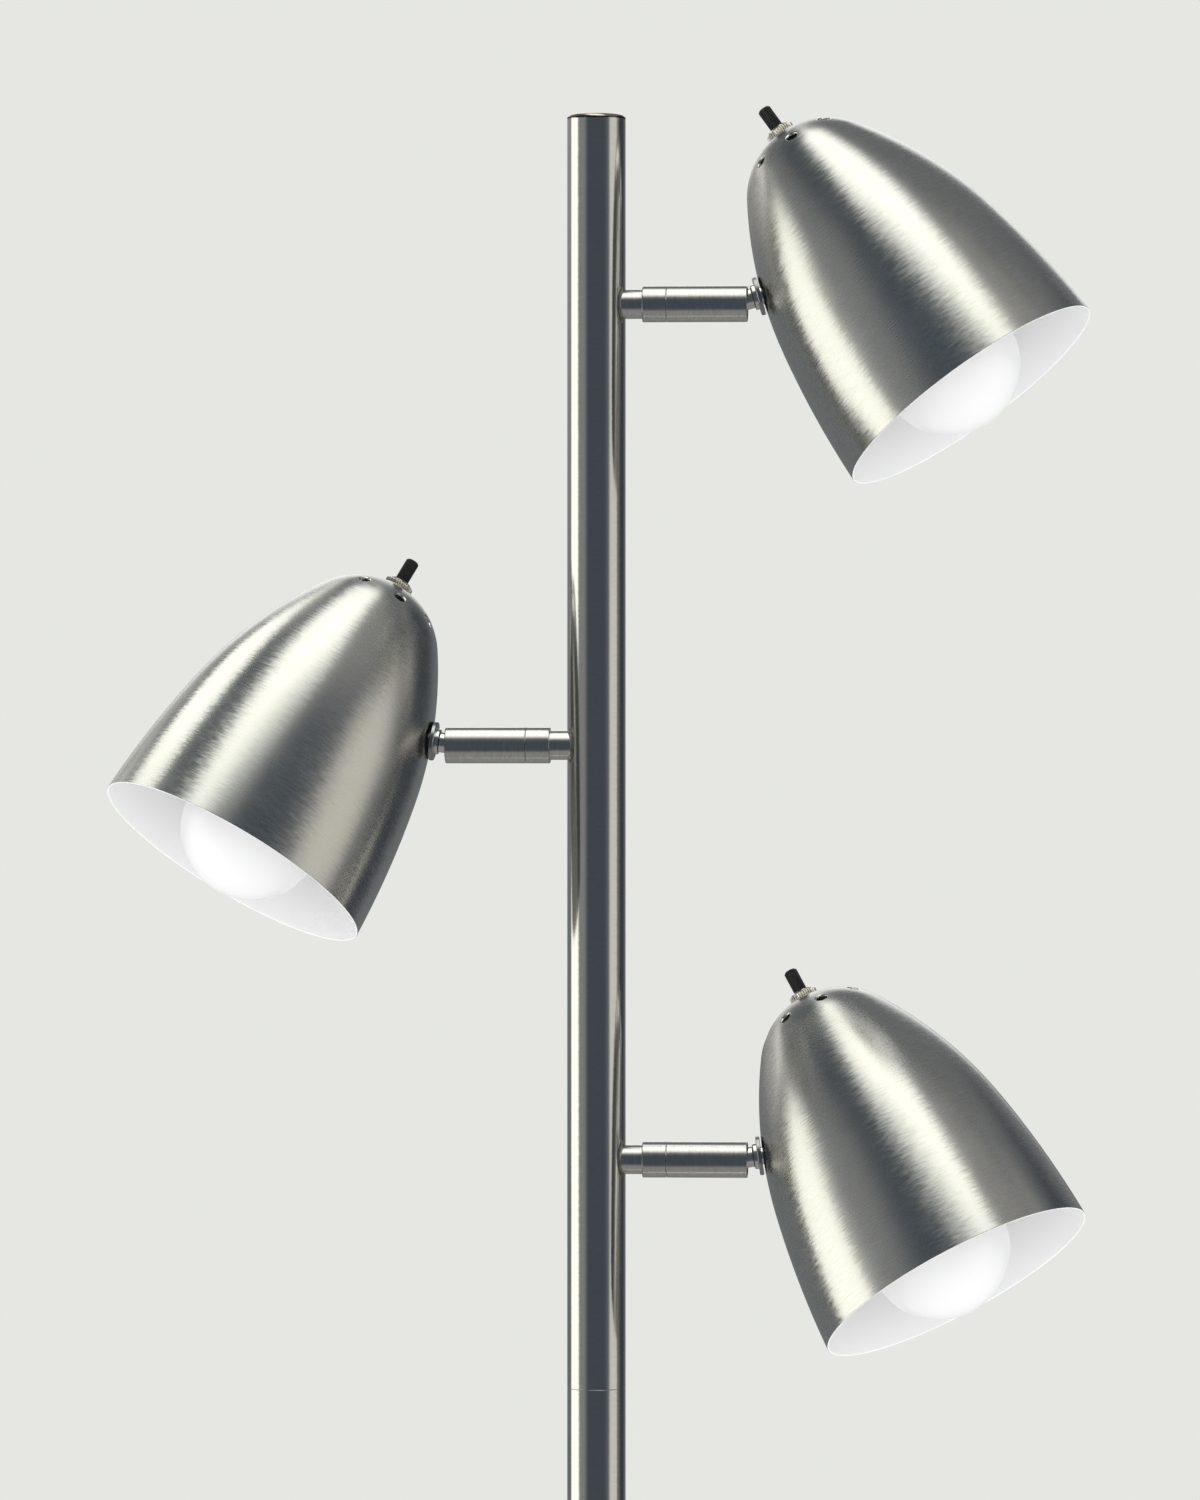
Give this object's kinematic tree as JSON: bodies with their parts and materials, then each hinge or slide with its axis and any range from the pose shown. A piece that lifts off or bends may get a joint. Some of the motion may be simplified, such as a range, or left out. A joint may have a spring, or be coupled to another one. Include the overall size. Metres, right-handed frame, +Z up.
{
  "type": "tree floor lamp",
  "caption": "Floor lamp with a round weighted base, a slim pole and bell-shaped metal shades on short arms that swivel and tilt, each with its own turn switch.",
  "frame": {"origin": "centre of the underside of the base pad, on the floor, on the pole axis", "axes": "+Z up the pole; the upper and the lower arm point along +X and the middle one along -X; -Y is the front, to which the shades are turned a little"},
  "size_m": [0.4275, 0.2556, 1.6241],
  "materials": {
    "brushed_nickel": "brushed, satin",
    "bright_nickel": "polished",
    "knurled_nickel": "knurled",
    "cast_weight": "as cast",
    "foam_pad": "matt foam",
    "zinc_steel": "zinc plated",
    "nylon": "natural",
    "black_rubber": "matt",
    "black_phenolic": "moulded",
    "contact_brass": "drawn",
    "opal_diffuser": "opal",
    "black_plastic": "ribbed"
  },
  "bodies": {
    "root": {"base_cover": "brushed_nickel", "base_weight": "cast_weight", "base_pad": "foam_pad", "cord_bushing": "black_rubber", "base_nut": "zinc_steel", "base_rod": "zinc_steel", "pole_foot_collar": "brushed_nickel", "lower_pole": "brushed_nickel", "middle_pole": "brushed_nickel", "upper_pole": "brushed_nickel", "pole_couplers": "zinc_steel", "pole_foot_plug": "zinc_steel", "pole_cap": "bright_nickel", "arm_nipples": "zinc_steel", "arm_stubs": "brushed_nickel", "arm_collars": "brushed_nickel", "friction_washers": "nylon", "nipple_nuts": "zinc_steel"},
    "arm_1": {"arm_sleeve_1": "brushed_nickel", "knuckle_insert_1": "zinc_steel", "knuckle_pins_1": "zinc_steel"},
    "head_1": {"shade_neck_1": "bright_nickel", "neck_flange_1": "bright_nickel", "neck_gasket_1": "black_rubber", "neck_nut_1": "zinc_steel", "shade_1": "brushed_nickel", "lampholder_1": "black_phenolic", "switch_bushing_1": "bright_nickel", "socket_contacts_1": "contact_brass", "ring_nut_1": "knurled_nickel", "bulb_1": "opal_diffuser"},
    "knob_1": {"switch_knob_1": "black_plastic"},
    "arm_2": {"arm_sleeve_2": "brushed_nickel", "knuckle_insert_2": "zinc_steel", "knuckle_pins_2": "zinc_steel"},
    "head_2": {"shade_neck_2": "bright_nickel", "neck_flange_2": "bright_nickel", "neck_gasket_2": "black_rubber", "neck_nut_2": "zinc_steel", "shade_2": "brushed_nickel", "lampholder_2": "black_phenolic", "switch_bushing_2": "bright_nickel", "socket_contacts_2": "contact_brass", "ring_nut_2": "knurled_nickel", "bulb_2": "opal_diffuser"},
    "knob_2": {"switch_knob_2": "black_plastic"},
    "arm_3": {"arm_sleeve_3": "brushed_nickel", "knuckle_insert_3": "zinc_steel", "knuckle_pins_3": "zinc_steel"},
    "head_3": {"shade_neck_3": "bright_nickel", "neck_flange_3": "bright_nickel", "neck_gasket_3": "black_rubber", "neck_nut_3": "zinc_steel", "shade_3": "brushed_nickel", "lampholder_3": "black_phenolic", "switch_bushing_3": "bright_nickel", "socket_contacts_3": "contact_brass", "ring_nut_3": "knurled_nickel", "bulb_3": "opal_diffuser"},
    "knob_3": {"switch_knob_3": "black_plastic"}
  },
  "joints": [
    {"name": "swivel_1", "type": "hinge", "parent": "root", "child": "arm_1", "pos_m": [0.03085, 0, 1.5367], "axis": [1, 0, 0], "range_deg": [-158.5, 181.5]},
    {"name": "tilt_1", "type": "hinge", "parent": "arm_1", "child": "head_1", "pos_m": [0.0588, 0, 1.5367], "axis": [0, -0.9799, 0.1994], "range_deg": [-32.9, 1.1]},
    {"name": "knob_turn_1", "type": "hinge", "parent": "head_1", "child": "knob_1", "pos_m": [0.0801, 0.0152, 1.6114], "axis": [-0.5776, 0.1627, 0.7999], "continuous": true},
    {"name": "swivel_2", "type": "hinge", "parent": "root", "child": "arm_2", "pos_m": [-0.03085, 0, 1.3448], "axis": [1, 0, 0], "range_deg": [-150.85, 189.15]},
    {"name": "tilt_2", "type": "hinge", "parent": "arm_2", "child": "head_2", "pos_m": [-0.0588, 0, 1.3448], "axis": [0, 0.9447, -0.328], "range_deg": [-25.9, 8.1]},
    {"name": "knob_turn_2", "type": "hinge", "parent": "head_2", "child": "knob_2", "pos_m": [-0.08923, 0.02397, 1.41382], "axis": [0.4739, 0.2889, 0.8319], "continuous": true},
    {"name": "swivel_3", "type": "hinge", "parent": "root", "child": "arm_3", "pos_m": [0.03085, 0, 1.1646], "axis": [1, 0, 0], "range_deg": [-152.3, 187.7]},
    {"name": "tilt_3", "type": "hinge", "parent": "arm_3", "child": "head_3", "pos_m": [0.0588, 0, 1.1646], "axis": [0, -0.9527, 0.304], "range_deg": [-25.5, 8.5]},
    {"name": "knob_turn_3", "type": "hinge", "parent": "head_3", "child": "knob_3", "pos_m": [0.08975, 0.02215, 1.234], "axis": [-0.4677, 0.2687, 0.842], "continuous": true}
  ]
}
